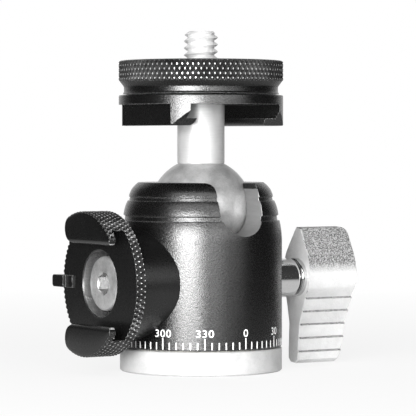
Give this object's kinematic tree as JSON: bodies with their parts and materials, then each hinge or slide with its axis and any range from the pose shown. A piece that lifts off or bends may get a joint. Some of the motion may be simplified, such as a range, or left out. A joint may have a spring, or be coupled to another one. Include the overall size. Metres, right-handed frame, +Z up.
{
  "type": "tripod ball head",
  "caption": "Small panning ball head with a wing lock knob, a knurled wheel and stud for the camera, a drop notch and an accessory shoe on the side.",
  "frame": {"origin": "centre of the underside of the base, at the mouth of the tripod thread", "axes": "+Z up along the pan axis and the stem; +X towards the lock knob; -X towards the accessory shoe; -Y through the drop notch"},
  "size_m": [0.0573, 0.0305, 0.0618],
  "materials": {
    "satin_silver": "satin turned, clear anodised",
    "blasted_silver": "bead-blasted, clear anodised",
    "turned_silver": "fine turned, clear anodised",
    "black_anodised": "bead-blasted, black anodised",
    "polished_steel": "polished, plated",
    "screw_steel": "rolled thread, zinc plated",
    "spring_steel": "hardened, dark",
    "brass": "turned",
    "nylon": "smooth nylon",
    "rubber": "ribbed rubber"
  },
  "bodies": {
    "base": {"base_plate": "satin_silver", "base_bushing": "brass", "pan_washer": "nylon", "pan_clip": "spring_steel"},
    "body": {"housing": "black_anodised", "pan_ring": "brass", "side_boss": "black_anodised", "shoe_screw": "screw_steel", "shoe_washer": "nylon", "cup_spring": "spring_steel"},
    "ball": {"ball": "blasted_silver"},
    "stem": {"stem": "turned_silver", "top_platform": "black_anodised", "camera_stud": "screw_steel"},
    "wheel": {"lock_wheel": "black_anodised", "wheel_pad": "rubber"},
    "cup": {"ball_cup": "nylon"},
    "plug": {"thrust_plug": "brass"},
    "knob": {"lock_screw": "polished_steel", "knob_washer": "polished_steel", "lock_knob": "blasted_silver", "knob_screw": "spring_steel"},
    "shoe": {"side_shoe": "black_anodised", "stop_tab": "black_anodised"}
  },
  "joints": [
    {"name": "pan", "type": "hinge", "parent": "base", "child": "body", "pos_m": [0, 0, 0.0043], "axis": [0, 0, 1], "continuous": true},
    {"name": "tilt", "type": "hinge", "parent": "body", "child": "ball", "pos_m": [0, 0, 0.0293], "axis": [1, 0, 0], "range_deg": [-30, 90]},
    {"name": "swivel", "type": "hinge", "parent": "ball", "child": "stem", "pos_m": [0, 0, 0.0293], "axis": [0, 0, 1], "continuous": true},
    {"name": "wheel_spin", "type": "hinge", "parent": "stem", "child": "wheel", "pos_m": [0, 0, 0.05], "axis": [0, 0, 1], "continuous": true},
    {"name": "cup_lift", "type": "slide", "parent": "body", "child": "cup", "axis": [0, 0, 1], "range_m": [-0.0005, 0], "deforming": ["cup_spring"]},
    {"name": "plug_slide", "type": "slide", "parent": "body", "child": "plug", "axis": [1, 0, 0], "range_m": [0, 0.0005]},
    {"name": "knob_turn", "type": "hinge", "parent": "plug", "child": "knob", "pos_m": [0.02, 0, 0.01635], "axis": [1, 0, 0], "range_deg": [0, 180]},
    {"name": "shoe_turn", "type": "hinge", "parent": "body", "child": "shoe", "pos_m": [-0.0195, 0, 0.01635], "axis": [1, 0, 0], "continuous": true}
  ],
  "couplings": [
    {"joint": "knob_turn", "follows": "plug_slide", "rad_per_m": 6283.1},
    {"joint": "cup_lift", "follows": "plug_slide", "ratio": -1}
  ]
}
